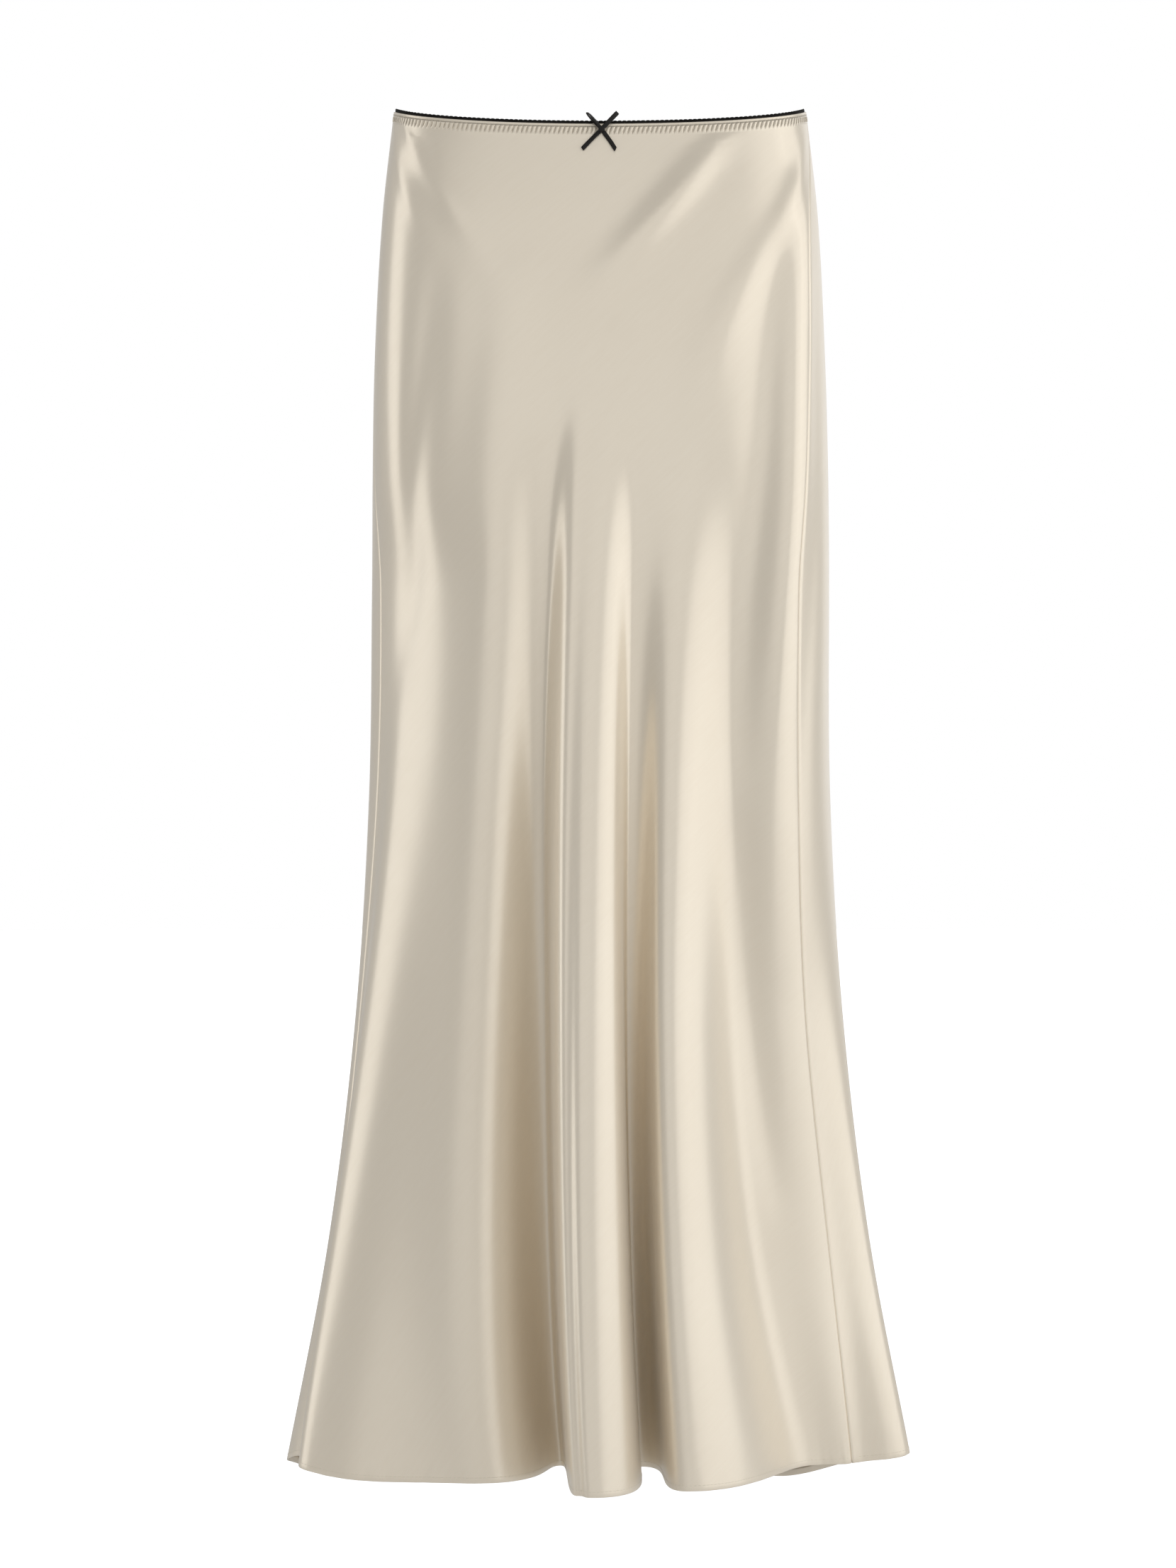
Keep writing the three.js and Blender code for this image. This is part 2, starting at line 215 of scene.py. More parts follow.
def oval(angle, drop, out):
    """Plan points of the plain oval at some angles, each moved out along the oval's normal."""
    half, square = along("half", drop), along("square", drop) + along("lop", drop) * np.sin(angle)
    mean = (along("front", drop) + along("back", drop)) / 2
    skew = (along("front", drop) - along("back", drop)) / 2
    across = (np.sin(angle) + square * np.sin(3 * angle)) / (1 - square)
    across_rate = (np.cos(angle) + 3 * square * np.cos(3 * angle)) / (1 - square)
    deep = (np.cos(angle) - square * np.cos(3 * angle)) / (1 - square)
    deep_rate = (-np.sin(angle) + 3 * square * np.sin(3 * angle)) / (1 - square)
    forward = mean * deep + skew * (np.cos(2 * angle) + 1) / 2
    forward_rate = mean * deep_rate - skew * np.sin(2 * angle)
    size = np.hypot(forward_rate, half * across_rate)
    x = half * across - forward_rate / size * out
    y = -forward - half * across_rate / size * out
    return x, y


FLANK_EVEN, FLANK_ROUND, FLANK_STEEP = 0.38, 0.62, 1.5  # a flank's handles, and when they grow


def flank(start, end, t, radius):
    """Angles and reaches from one flute to the next, rounder where the flank is steep."""
    angle_0, out_0, _, after, _ = start
    angle_1, out_1, before, _, _ = end
    gap = angle_1 - angle_0
    steep = abs(out_1 - out_0) / (gap * radius)
    rounding = FLANK_ROUND * (1 - np.exp(-steep / FLANK_STEEP))
    leave = gap * (FLANK_EVEN + rounding * after)
    arrive = gap * (FLANK_EVEN + rounding * before)
    s = 1 - t
    angle = (
        angle_0 * s**3
        + (angle_0 + leave) * 3 * s * s * t
        + (angle_1 - arrive) * 3 * s * t * t
        + angle_1 * t**3
    )
    out = out_0 * (s**3 + 3 * s * s * t) + out_1 * (3 * s * t * t + t**3)
    return angle, out


def waist_rise(angle):
    """How much higher than level the waist is at an angle: it dips to the front middle."""

    def lean(forward):
        return (forward + np.hypot(forward, WAIST_EASE)) / 2

    return -FRONT_DIP * (lean(np.cos(angle)) - lean(0)) / (lean(1) - lean(0))


def height(angle, share):
    """How high the cloth is at some angles, a share of the way down."""
    turned = np.degrees(angle) % 360
    lower = sum(drop * np.exp(-(((turned - at) / wide) ** 2)) for at, wide, drop in HEM_DROPS)
    top = (waist_rise(angle) - EDGE_SHOWS) * (1 - share) ** 3
    return -LENGTH * share + top - lower * share**4


def hem_ripple(angle, drop):
    """The slight uneven roping of a bias hem, which dies away above it."""
    fade = math.exp(-(LENGTH - drop) / RIPPLE_FADE)
    wave = np.sin(61 * angle + 1) + 0.7 * np.sin(97 * angle + 2.5) + 0.5 * np.sin(149 * angle)
    return RIPPLE * fade * wave


def cloth_face(flutes, columns, share):
    """Points on the outer face between two seams, at some columns and a share of the way down."""
    numbers = np.array([row[1:] for row in flutes])
    first_column = np.concatenate(([0], np.cumsum(numbers[:-1, -1])))
    span = np.clip(np.searchsorted(first_column, columns, side="right") - 1, 0, len(flutes) - 2)
    t = (columns - first_column[span]) / numbers[span, -1]
    drop = share * LENGTH
    angle, out = flank(numbers[span].T, numbers[span + 1].T, t, along("half", drop))
    out = out + crease_lift(angle, drop) + hem_ripple(angle, drop)
    x, y = oval(angle, drop, out)
    return np.column_stack((x, y, height(angle, share)))


def outwards(flutes, columns, share):
    """The level direction out of the cloth at some columns."""
    near = 0.01
    most = sum(row[-1] for row in flutes[:-1])
    before = cloth_face(flutes, np.maximum(columns - near, 0), share)
    after = cloth_face(flutes, np.minimum(columns + near, most), share)
    along_ring = after - before
    level = np.column_stack((along_ring[:, 1], -along_ring[:, 0], np.zeros(len(columns))))
    return level / np.linalg.norm(level, axis=1)[:, None]


RULER_STEPS = 8  # to one of the cutter's columns


def columns_from(flutes, share):
    """A ruler round one panel: its columns, and how far each lies from the panel's first seam."""
    most = sum(row[-1] for row in flutes[:-1])
    columns = np.linspace(0, most, most * RULER_STEPS + 1)
    plan = cloth_face(flutes, columns, share)[:, :2]
    steps = np.linalg.norm(np.diff(plan, axis=0), axis=1)
    return columns, np.concatenate(([0], np.cumsum(steps)))


def layer_depth(from_seam):
    """How deep a turned layer lies behind the face, deeper over the seam allowances."""
    over = np.clip((SEAM_ALLOWANCE + ALLOWANCE_EASE - from_seam) / ALLOWANCE_EASE, 0, 1)
    return CLOTH + TURN + TURN * over * over * (3 - 2 * over)


def seam_dip(from_seam):
    return SEAM_DIP * np.exp(-((from_seam / SEAM_SOFTNESS) ** 2))


def edge_columns():
    """What lies beside a seam, from the allowance's raw edge inside to the outer face:
    distances from the seam, shares of the fold over (1 is inside) and whether it is face."""
    roll = (CLOTH + TURN) / 2
    inside = [(far, 1, False) for far in ALLOWANCE_STEPS]
    folded = [
        (SEAM_TOUCH + roll * (1 - math.sin(math.pi * k / FOLD_STEPS)), k / FOLD_STEPS, False)
        for k in range(FOLD_STEPS - 1, 0, -1)
    ]
    outside = [(SEAM_TOUCH + roll, 0, True)] + [(far, 0, True) for far in FACE_STEPS]
    return inside + [(SEAM_TOUCH + roll, 1, False)] + folded + outside


def panel_rows():
    """The rows of a panel from its turned-in top edge, over and down to its hem and up inside it:
    a share of the way down, the share of the fold over, and which way the fold bulges."""
    roll = (CLOTH + TURN) / 2
    fold = [k / FOLD_STEPS for k in range(1, FOLD_STEPS)]
    top = [(far / LENGTH, 1, 1) for far in TOP_STEPS] + [(roll / LENGTH, over, 1) for over in fold[::-1]]
    face = [roll] + [
        float(drop)
        for start, end, count in FACE_ROWS
        for drop in np.linspace(start, end, count, endpoint=False)
    ]
    face.append(LENGTH - roll)
    face = [(drop / LENGTH, 0, 0) for drop in face]
    hem = [(1 - roll / LENGTH, over, -1) for over in fold]
    hem += [(1 - far / LENGTH, 1, -1) for far in HEM_STEPS]
    return top + face + hem


def panel(name, seams):
    """One panel of satin as a sheet, with its seam allowances pressed open behind it, its top
    edge turned in and its hem turned up, then given its thickness."""
    vertices, uvs, flags = [], [], []
    beside = edge_columns()
    rows = panel_rows()
    for share, over, bulge in rows:
        flutes = flutes_between(seams, share * LENGTH)
        ruler, measure = columns_from(flutes, share)
        near = np.array([step[0] for step in beside])
        start = np.interp(near, measure, ruler)
        end = np.interp(measure[-1] - near, measure, ruler)
        marks = np.cumsum([0] + [row[-1] for row in flutes[:-1]])
        middle = [np.linspace(start[-1], marks[1], flutes[0][-1] * FINE + 1)[1:]]
        for i in range(1, len(marks) - 2):
            middle.append(np.linspace(marks[i], marks[i + 1], flutes[i][-1] * FINE + 1)[1:])
        middle.append(np.linspace(marks[-2], end[-1], flutes[-2][-1] * FINE + 1)[1:-1])
        middle = np.concatenate(middle)
        columns = np.concatenate((start, middle, end[::-1]))
        from_first = np.interp(columns, ruler, measure)
        from_seam = np.minimum(from_first, measure[-1] - from_first)
        fold = np.array([step[1] for step in beside])
        fold = np.concatenate((fold, np.zeros(len(middle)), fold[::-1]))
        face = np.array([step[2] for step in beside])
        face = np.concatenate((face, np.ones(len(middle), bool), face[::-1]))
        sideways = (CLOTH + TURN) * (1 - np.cos(np.pi * fold)) / 2
        turned = layer_depth(from_seam) * (1 - math.cos(math.pi * over)) / 2
        depth = seam_dip(from_seam) + sideways + turned
        places = cloth_face(flutes, columns, share) - outwards(flutes, columns, share) * depth[:, None]
        places[:, 2] += bulge * layer_depth(from_seam) / 2 * math.sin(math.pi * over)
        vertices.append(places)
        below_top = np.full(len(columns), -share * LENGTH)
        uvs.append(np.column_stack((from_first - measure[-1] / 2, below_top)))
        flags.append(face | (over == 0))
    keep = np.array(flags)
    number = np.cumsum(keep).reshape(keep.shape) - 1
    faces = []
    for r in range(len(rows) - 1):
        for c in range(keep.shape[1] - 1):
            if keep[r : r + 2, c : c + 2].all():
                corners = ((r, c), (r + 1, c), (r + 1, c + 1), (r, c + 1))
                faces.append([int(number[corner]) for corner in corners])
    keep = keep.ravel()
    return sheet_mesh(name, np.concatenate(vertices)[keep], faces, np.concatenate(uvs)[keep])


def sheet_mesh(name, places, faces, pattern):
    """A smooth sheet in metres whose UV map is its flat pattern, also in metres."""
    mesh = bpy.data.meshes.new(name)
    mesh.from_pydata((places * MM).tolist(), [], faces)
    corners = np.zeros(len(mesh.loops), int)
    mesh.loops.foreach_get("vertex_index", corners)
    mesh.uv_layers.new(name="pattern").data.foreach_set("uv", (pattern[corners] * MM).ravel())
    mesh.polygons.foreach_set("use_smooth", np.ones(len(faces), bool))
    piece = bpy.data.objects.new(name, mesh)
    bpy.context.scene.collection.objects.link(piece)
    return piece


def thicken(piece, thickness):
    """Gives a sheet its thickness behind its face."""
    bpy.ops.object.select_all(action="DESELECT")
    bpy.context.view_layer.objects.active = piece
    piece.select_set(True)
    cloth = piece.modifiers.new("cloth", "SOLIDIFY")
    cloth.thickness = thickness * MM
    cloth.offset = -1
    bpy.ops.object.modifier_apply(modifier=cloth.name)


def new_material(name):
    """An empty material and its node tree."""
    material = bpy.data.materials.new(name)
    material.use_nodes = True
    tree = material.node_tree
    tree.nodes.clear()
    return material, tree


def add_node(tree, kind, values=(), **settings):
    node = tree.nodes.new(kind)
    for key, value in settings.items():
        setattr(node, key, value)
    for socket, value in dict(values).items():
        if isinstance(value, bpy.types.NodeSocket):
            tree.links.new(value, node.inputs[socket])
        else:
            node.inputs[socket].default_value = value
    return node


def blend(tree, share, low, high):
    """The colour that lies a share of the way from one to another."""
    colour = add_node(tree, "ShaderNodeMix", data_type="RGBA")
    tree.links.new(share, colour.inputs["Factor"])
    colour.inputs["A"].default_value = low
    colour.inputs["B"].default_value = high
    return colour.outputs["Result"]


def put_out(tree, shader):
    """Makes a shader the material's surface."""
    output = add_node(tree, "ShaderNodeOutputMaterial")
    tree.links.new(shader.outputs["BSDF"], output.inputs["Surface"])


def weave_group():
    """Fine floating threads on the bias, with slubs along them, for satin and ribbon."""
    tree = bpy.data.node_groups.new("satin weave", "ShaderNodeTree")
    for socket, kind in (("Pattern", "Vector"), ("Thread", "Float"), ("Turn", "Float")):
        tree.interface.new_socket(socket, in_out="INPUT", socket_type="NodeSocket" + kind)
    for socket in ("Height", "Slub"):
        tree.interface.new_socket(socket, in_out="OUTPUT", socket_type="NodeSocketFloat")
    given = add_node(tree, "NodeGroupInput")
    result = add_node(tree, "NodeGroupOutput")
    pattern, thread, turn = (given.outputs[socket] for socket in ("Pattern", "Thread", "Turn"))
    turned = add_node(
        tree, "ShaderNodeVectorRotate", {"Vector": pattern, "Angle": turn}, rotation_type="Z_AXIS"
    ).outputs[0]
    finer = add_node(tree, "ShaderNodeMath", {0: 1.0, 1: thread}, operation="DIVIDE").outputs[0]
    threads = add_node(
        tree, "ShaderNodeVectorMath", {0: turned, "Scale": finer}, operation="SCALE"
    ).outputs[0]
    drawn = add_node(tree, "ShaderNodeMapping", {"Vector": threads, "Scale": (1, 0.08, 1)}).outputs[0]
    floats = add_node(tree, "ShaderNodeTexNoise", {"Vector": drawn, "Scale": 1, "Detail": 1})
    slubs = add_node(tree, "ShaderNodeTexNoise", {"Vector": drawn, "Scale": 0.11, "Detail": 2})
    tree.links.new(floats.outputs["Fac"], result.inputs["Height"])
    tree.links.new(slubs.outputs["Fac"], result.inputs["Slub"])
    return tree


SATIN_LIGHT = (0.89, 0.806, 0.67, 1)
SATIN_DEEP = (0.875, 0.786, 0.648, 1)
# Painted shade: SATIN_SHADOW is multiplied into the satin's colour in the gathers' hollows and along the
# straight stitches' groove.
SATIN_SHADOW = (0.42, 0.38, 0.33, 1)  # what the gathers' hollows are darkened by
SATIN_THREAD = 0.00022  # metres
PUCKER = 3.25  # from one pucker of the waist's stitching to the next
PUCKER_TOP, PUCKER_FADE = (-1.7, -3), (-6, -9.5)  # where the puckers rise and where they die away
PUCKER_DEPTH, PUCKER_SHADE = 0.8, 0.42  # their depth, and how dark their hollows are
ROW_GROOVE = (-1.9, 0.55)  # the groove of the straight stitches, and its half width

weave = weave_group()


def pucker_nodes(tree, pattern):
    """The height of the gathers under the waist's stitching, and the painted shade laid into their
    hollows and into the groove of the straight stitches.
    """

    def ramp(value, start, end):
        settings = {"Value": value, "From Min": start * MM, "From Max": end * MM}
        ramped = add_node(tree, "ShaderNodeMapRange", settings, interpolation_type="SMOOTHSTEP")
        return ramped.outputs["Result"]

    def sum_of(kind, *values):
        return add_node(tree, "ShaderNodeMath", dict(enumerate(values)), operation=kind).outputs[0]

    split = add_node(tree, "ShaderNodeSeparateXYZ", {"Vector": pattern})
    round_waist, up = split.outputs["X"], split.outputs["Y"]
    wave = sum_of("ABSOLUTE", sum_of("SINE", sum_of("MULTIPLY", round_waist, math.pi / (PUCKER * MM))))
    ridge = sum_of("POWER", wave, 0.6)
    window = sum_of("MULTIPLY", ramp(up, *PUCKER_TOP), ramp(up, PUCKER_FADE[1], PUCKER_FADE[0]))
    groove = ramp(sum_of("ABSOLUTE", sum_of("ADD", up, -ROW_GROOVE[0] * MM)), 0, ROW_GROOVE[1])
    height = sum_of("ADD", sum_of("MULTIPLY", ridge, window), sum_of("MULTIPLY", groove, 0.4))
    hollow = sum_of("MULTIPLY", sum_of("SUBTRACT", 1.0, ridge), window)
    hollow = sum_of("MULTIPLY", hollow, PUCKER_SHADE * 2)
    # Painted shade along the groove of the straight stitches.
    painted_groove_shade = sum_of("MULTIPLY", sum_of("SUBTRACT", 1.0, groove), PUCKER_SHADE * 0.6)
    return height, sum_of("ADD", hollow, painted_groove_shade)


def satin_material():
    """Ivory satin: a soft bright gloss, faintly cloudy, gathered under the waist's stitching, with
    painted shade in the gathers' hollows and in the stitch groove.
    """
    material, tree = new_material("ivory satin")
    pattern = add_node(tree, "ShaderNodeUVMap", uv_map="pattern").outputs["UV"]
    threads = add_node(tree, "ShaderNodeGroup", {}, node_tree=weave)
    tree.links.new(pattern, threads.inputs["Pattern"])
    threads.inputs["Thread"].default_value = SATIN_THREAD
    threads.inputs["Turn"].default_value = math.radians(45)
    place = add_node(tree, "ShaderNodeTexCoord").outputs["Object"]
    cloudy = add_node(tree, "ShaderNodeTexNoise", {"Vector": place, "Scale": 7, "Detail": 3})
    both = add_node(
        tree, "ShaderNodeMath", {0: threads.outputs["Slub"], 1: cloudy.outputs["Fac"]}, operation="ADD"
    ).outputs[0]
    shade = add_node(
        tree, "ShaderNodeMapRange", {"Value": both, "From Min": 0.7, "From Max": 1.3}
    ).outputs["Result"]
    colour = blend(tree, shade, SATIN_DEEP, SATIN_LIGHT)
    gloss = add_node(
        tree, "ShaderNodeMapRange", {"Value": shade, "To Min": 0.33, "To Max": 0.29}
    ).outputs["Result"]
    relief = add_node(
        tree, "ShaderNodeBump",
        {"Height": threads.outputs["Height"], "Strength": 0.25, "Distance": 0.00004},
    ).outputs["Normal"]
    puckers, shadow = pucker_nodes(tree, pattern)
    puckered = add_node(
        tree, "ShaderNodeBump", {"Height": puckers, "Normal": relief, "Distance": PUCKER_DEPTH * MM}
    ).outputs["Normal"]
    # Painted shade: the satin's colour is multiplied darker in the puckers' hollows and in the stitch
    # groove.
    shaded = add_node(
        tree, "ShaderNodeMix", {"Factor": shadow}, data_type="RGBA", blend_type="MULTIPLY"
    )
    tree.links.new(colour, shaded.inputs["A"])
    shaded.inputs["B"].default_value = SATIN_SHADOW
    put_out(tree, add_node(tree, "ShaderNodeBsdfPrincipled", {
        "Base Color": shaded.outputs["Result"], "Roughness": gloss, "Normal": puckered,
        "Metallic": 0.35, "Specular IOR Level": 0.6, "Sheen Weight": 0.15, "Sheen Roughness": 0.4,
    }))
    return material


satin = satin_material()


def cut_size(seams):
    """The width and length in metres that a panel was cut to, its allowances and turns with it."""
    hem = columns_from(flutes_between(seams, LENGTH), 1)[1][-1]
    return (hem + 2 * SEAM_ALLOWANCE) * MM, (LENGTH + TOP_STEPS[0] + HEM_STEPS[-1]) * MM


def finish_panel(piece, node, flat):
    """The panel as it hangs: its thickness, its satin and the solid it stands for. The cut size it is
    given is not used.
    """
    thicken(piece, CLOTH)
    piece.data.materials.append(satin)
    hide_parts(node)
    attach(piece, "root")


FRONT_SEAMS = ("left seam", "right seam")
front = panel("front_panel_cloth", FRONT_SEAMS)
finish_panel(front, "front_panel", cut_size(FRONT_SEAMS))

# ---------------------------------------------------------------------------------------
# Back panel
# The same satin, from the right side seam round the back to the left side seam. It is the wider
# of the two, and its allowances are pressed open against the front's.
BACK_SEAMS = ("right seam", "left seam again")
back = panel("back_panel_cloth", BACK_SEAMS)
finish_panel(back, "back_panel", cut_size(BACK_SEAMS))

# ---------------------------------------------------------------------------------------
# Waist elastic
# A knitted black elastic, 10 mm tall, laid behind the satin's turned-in top edge all round. Only
# its picot edge shows, a row of tiny loops of thread that stands above the satin.
ELASTIC_TALL, ELASTIC_THICK = 10, 0.8
ELASTIC_BEHIND = 0.15  # clear of the satin's turned-in layer
PICOTS, PICOT_TALL, PICOT_STEPS = 250, 0.5, 8  # how many all round, and columns of mesh to each
ELASTIC_BLACK = (0.003, 0.0024, 0.0018, 1)
ELASTIC_GREY = (0.01, 0.0082, 0.0065, 1)
RIB = 0.0008  # metres


def round_skirt(drop, count):
    """Places evenly spaced all round the skirt at a drop: points on the face, the level direction
    out of it, how far along from the left seam they lie, and how far from the nearer seam."""
    flutes = flutes_at(drop)
    ruler, measure = columns_from(flutes, drop / LENGTH)
    along_skirt = np.arange(count) * measure[-1] / count
    columns = np.interp(along_skirt, measure, ruler)
    names = [row[0] for row in flutes]
    right = np.interp(sum(row[-1] for row in flutes[: names.index("right seam")]), ruler, measure)
    from_seam = np.abs(along_skirt[:, None] - (0, right, measure[-1])).min(axis=1)
    face, out = (made(flutes, columns, drop / LENGTH) for made in (cloth_face, outwards))
    return face, out, along_skirt, from_seam


def elastic_band():
    """The elastic as a closed ring, up its outer face, over its picot edge and down its inner face."""
    low, firm = EDGE_SHOWS - ELASTIC_TALL, EDGE_SHOWS - PICOT_TALL
    profile = [  # height above the satin's edge, how far in through the thickness, share of a picot
        (low, 0.2, 0), (low + 0.2, 0, 0), (-4, 0, 0), (-0.6, 0, 0), (firm - 0.5, 0, 0), (firm, 0.1, 0.3),
        (firm, 0.3, 0.9), (firm, 0.5, 1), (firm, 0.7, 0.9), (firm, 0.9, 0.3), (-0.6, 1, 0),
        (low + 0.2, 1, 0), (low, 0.8, 0),
    ]
    count = PICOTS * PICOT_STEPS
    vertices, pattern, faces = [], [], []
    for row, (height, inside, picot) in enumerate(profile):
        face, out, along_skirt, from_seam = round_skirt(max(-height, 0), count)
        depth = layer_depth(from_seam) + ELASTIC_BEHIND + ELASTIC_THICK * inside
        places = face - out * depth[:, None]
        loops = np.sqrt(np.abs(np.sin(np.pi * np.arange(count) / PICOT_STEPS)))
        places[:, 2] += max(height, 0) + PICOT_TALL * picot * loops
        vertices.append(places)
        pattern.append(np.column_stack((along_skirt, np.full(count, height + ELASTIC_THICK * inside))))
        below = (row + 1) % len(profile)
        for at in range(count):
            beside = (at + 1) % count
            ring, next_ring = row * count, below * count
            faces.append((ring + at, ring + beside, next_ring + beside, next_ring + at))
    return sheet_mesh("waist_elastic", np.concatenate(vertices), faces, np.concatenate(pattern))


def elastic_material():
    """Matt black knitting with fine ribs along it."""
    material, tree = new_material("black elastic")
    pattern = add_node(tree, "ShaderNodeUVMap", uv_map="pattern").outputs["UV"]
    ribs = add_node(
        tree, "ShaderNodeTexWave", {"Vector": pattern, "Scale": 1 / RIB / 6.28, "Distortion": 0.6}
    )
    ribs.bands_direction = "Y"
    relief = add_node(
        tree, "ShaderNodeBump", {"Height": ribs.outputs["Fac"], "Strength": 0.5, "Distance": 0.00015}
    ).outputs["Normal"]
    colour = blend(tree, ribs.outputs["Fac"], ELASTIC_BLACK, ELASTIC_GREY)
    put_out(tree, add_node(tree, "ShaderNodeBsdfPrincipled", {
        "Base Color": colour, "Normal": relief,
        "Roughness": 0.8, "Specular IOR Level": 0.15, "Sheen Weight": 0.02,
    }))
    return material


elastic = elastic_band()
elastic.data.materials.append(elastic_material())
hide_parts("waist_trim")
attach(elastic, "root")

# ---------------------------------------------------------------------------------------
# Stitching
# Cream polyester thread. A row of straight stitches and a zigzag below it hold the elastic to the
# satin, and a row of straight stitches holds the turned-up hem.
THREAD = 0.34
WAIST_ROW_DROP, WAIST_STITCH = 1.9, 2.1
ZIGZAG_DROPS, ZIGZAG_LEAN = (3, 7.6), 0.07  # the lean is a share of a pucker's width
HEM_ROW_DROP, HEM_PITCH, HEM_STITCH = LENGTH - 4, 3, 2.5
SEAM_CLEAR = 2  # from a side seam to the nearest stitch
THREAD_LIGHT = (0.9, 0.83, 0.7, 1)
THREAD_DEEP = (0.72, 0.65, 0.53, 1)


def one_stitch(length):
    """A stitch of thread along x: a thin spindle whose ends dive into the cloth at its needle holes."""
    bpy.ops.object.select_all(action="DESELECT")
    bpy.ops.mesh.primitive_uv_sphere_add(
        segments=6, ring_count=8, radius=1, rotation=(0, math.pi / 2, 0)
    )
    stitch = bpy.context.object
    bpy.ops.object.transform_apply(rotation=True)
    bpy.ops.object.mode_set(mode="EDIT")
    bpy.ops.transform.resize(value=(length / 2, THREAD / 2, THREAD / 2))
    bpy.ops.mesh.select_all(action="DESELECT")
    bpy.ops.object.mode_set(mode="OBJECT")
    for vertex in stitch.data.vertices:
        vertex.select = abs(vertex.co.x) > 0.8 * length / 2
    bpy.ops.object.mode_set(mode="EDIT")
    bpy.ops.transform.translate(value=(0, 0, -THREAD))
    bpy.ops.object.mode_set(mode="OBJECT")
    places = np.array([vertex.co for vertex in stitch.data.vertices])
    faces = [list(face.vertices) for face in stitch.data.polygons]
    bpy.data.meshes.remove(stitch.data)
    return places, faces


def row_of_stitches(name, stitch, starts, ends, out):
    """Copies of one stitch in one mesh, each laid from its start to its end and standing out."""
    places, faces = stitch
    ahead = ends - starts
    length = np.ptp(places[:, 0])
    side = np.cross(out, ahead)
    side /= np.linalg.norm(side, axis=1)[:, None]
    middle = (starts + ends) / 2 + out * THREAD * 0.3
    laid = (
        middle[:, None, :]
        + ahead[:, None, :] * (places[None, :, :1] / length)
        + side[:, None, :] * places[None, :, 1:2]
        + out[:, None, :] * places[None, :, 2:3]
    ).reshape(-1, 3)
    made = [
        [corner + k * len(places) for corner in face] for k in range(len(starts)) for face in faces
    ]
    return sheet_mesh(name, laid, made, laid[:, [0, 2]])


def thread_material():
    """Twisted cream thread, lighter and darker along it."""
    material, tree = new_material("cream thread")
    place = add_node(tree, "ShaderNodeTexCoord").outputs["Object"]
    uneven = add_node(
        tree, "ShaderNodeTexNoise", {"Vector": place, "Scale": 900, "Detail": 1}
    ).outputs["Fac"]
    colour = blend(tree, uneven, THREAD_DEEP, THREAD_LIGHT)
    twist = add_node(
        tree, "ShaderNodeBump", {"Height": uneven, "Strength": 0.4, "Distance": 0.0001}
    ).outputs["Normal"]
    put_out(tree, add_node(tree, "ShaderNodeBsdfPrincipled", {
        "Base Color": colour, "Normal": twist, "Roughness": 0.45, "Sheen Weight": 0.2,
    }))
    return material


def on_panel(seams, drop, offsets):
    """Places on a panel at a drop, some way round from its middle, and the level directions out."""
    flutes = flutes_between(seams, drop)
    ruler, measure = columns_from(flutes, drop / LENGTH)
    columns = np.interp(measure[-1] / 2 + offsets, measure, ruler)
    return cloth_face(flutes, columns, drop / LENGTH), outwards(flutes, columns, drop / LENGTH)


def needle_holes(seams, drop, pitch):
    """How far from a panel's middle each needle hole of a row lies."""
    flutes = flutes_between(seams, drop)
    half = columns_from(flutes, drop / LENGTH)[1][-1] / 2 - SEAM_CLEAR - pitch
    count = int(half / pitch)
    return np.arange(-count, count + 1) * pitch


def straight_row(name, drop, pitch, length):
    """A row of straight stitches round both panels."""
    starts, ends, out = [], [], []
    for seams in (FRONT_SEAMS, BACK_SEAMS):
        holes = needle_holes(seams, drop, pitch)
        start, way_out = on_panel(seams, drop, holes + (pitch - length) / 2)
        starts.append(start)
        ends.append(on_panel(seams, drop, holes + (pitch + length) / 2)[0])
        out.append(way_out)
    return row_of_stitches(name, one_stitch(length), *map(np.concatenate, (starts, ends, out)))


def zigzag_row(name, drops, pitch, lean):
    """The long legs of a zigzag round both panels, which lean to one side and the other in turn."""
    starts, ends, out = [], [], []
    for seams in (FRONT_SEAMS, BACK_SEAMS):
        holes = needle_holes(seams, drops[1], pitch)
        sideways = np.where(np.arange(len(holes)) % 2, 1, -1) * lean * pitch
        start, way_out = on_panel(seams, drops[0], holes + sideways)
        starts.append(start)
        ends.append(on_panel(seams, drops[1], holes - sideways)[0])
        out.append(way_out)
    leg = one_stitch(drops[1] - drops[0])
    return row_of_stitches(name, leg, *map(np.concatenate, (starts, ends, out)))


thread = thread_material()
stitching = [
    straight_row("waist_stitches", WAIST_ROW_DROP, PUCKER, WAIST_STITCH),
    zigzag_row("waist_zigzag", ZIGZAG_DROPS, PUCKER, ZIGZAG_LEAN),
    straight_row("hem_stitches", HEM_ROW_DROP, HEM_PITCH, HEM_STITCH),
]
for row in stitching:
    row.data.materials.append(thread)
    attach(row, "root")

# ---------------------------------------------------------------------------------------
# Bow
# A small bow of black satin ribbon, 3 mm wide, tied and sewn down at its knot in the middle of
# the front. Its left loop has turned on edge and its right one lies flat. The left tail is cut
# nearly straight and the right one aslant.
RIBBON_WIDE, RIBBON_THICK = 3, 0.4
KNOT_DEEP = 1.5  # from the cloth to the middle of the knot
BOW_LEAN = 6.8  # degrees that the cloth under it leans back
# Which way each loop points, its length, its depth, and how far it has turned at root and tip.
BOW_LOOPS = [
    ("bow_loop_left", 131, 15.4, 1.1, 38, 66),
    ("bow_loop_right", 47, 16.1, 1.8, 12, 20),
]
